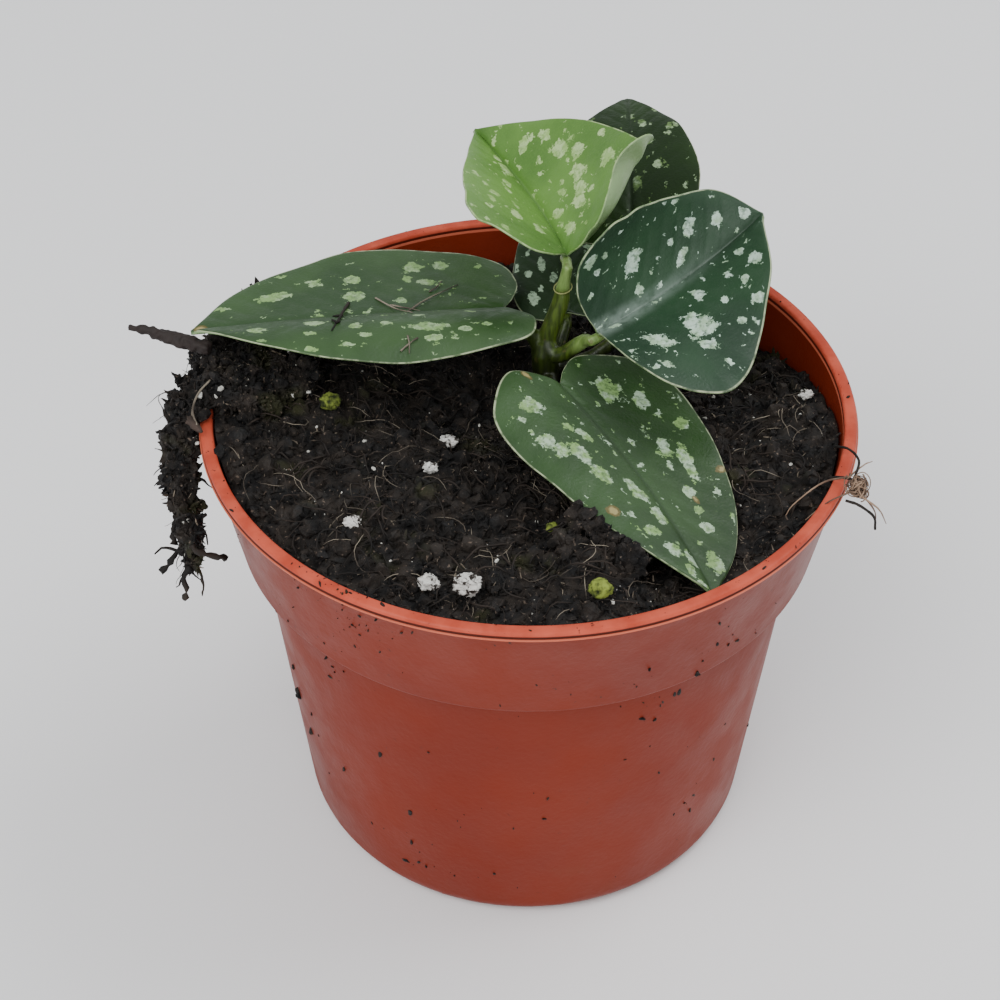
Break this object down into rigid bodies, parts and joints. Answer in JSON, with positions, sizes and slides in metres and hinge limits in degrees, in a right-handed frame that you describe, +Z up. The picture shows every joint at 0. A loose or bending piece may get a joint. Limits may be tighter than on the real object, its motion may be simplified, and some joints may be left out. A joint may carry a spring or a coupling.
{
  "type": "satin pothos",
  "caption": "Young satin pothos in a round plastic nursery pot, with heart-shaped spotted leaves on short stalks and peat that spills over the lip.",
  "frame": {"origin": "middle of the pot's flat underside, on the floor", "axes": "+Z up along the pot's axis; the plant is seen from -Y"},
  "size_m": [0.1365, 0.1347, 0.1358],
  "materials": {
    "pot_plastic": "matte terracotta-coloured polypropylene",
    "soil": null,
    "stem_green": null,
    "leaf_dark": null,
    "leaf_young": null,
    "perlite": null,
    "mossy_grain": "mossy fertiliser grain",
    "dry_root": "dry pale root fibre",
    "dry_sheath": "withered dark sheath"
  },
  "bodies": {
    "root": {"pot": "pot_plastic", "soil": "soil", "soil_spill": "soil", "stem": "stem_green", "leaf_left": "leaf_dark", "leaf_front": "leaf_dark", "leaf_right": "leaf_dark", "leaf_top": "leaf_young", "leaf_back": "leaf_dark", "leaf_inner": "leaf_dark", "root_tuft": "dry_root", "dry_sheath": "dry_sheath", "perlite_1": "perlite", "perlite_2": "perlite", "perlite_3": "perlite", "perlite_4": "perlite", "perlite_5": "perlite", "perlite_6": "perlite", "mossy_grain_1": "mossy_grain", "mossy_grain_2": "mossy_grain", "mossy_grain_3": "mossy_grain"}
  },
  "joints": []
}
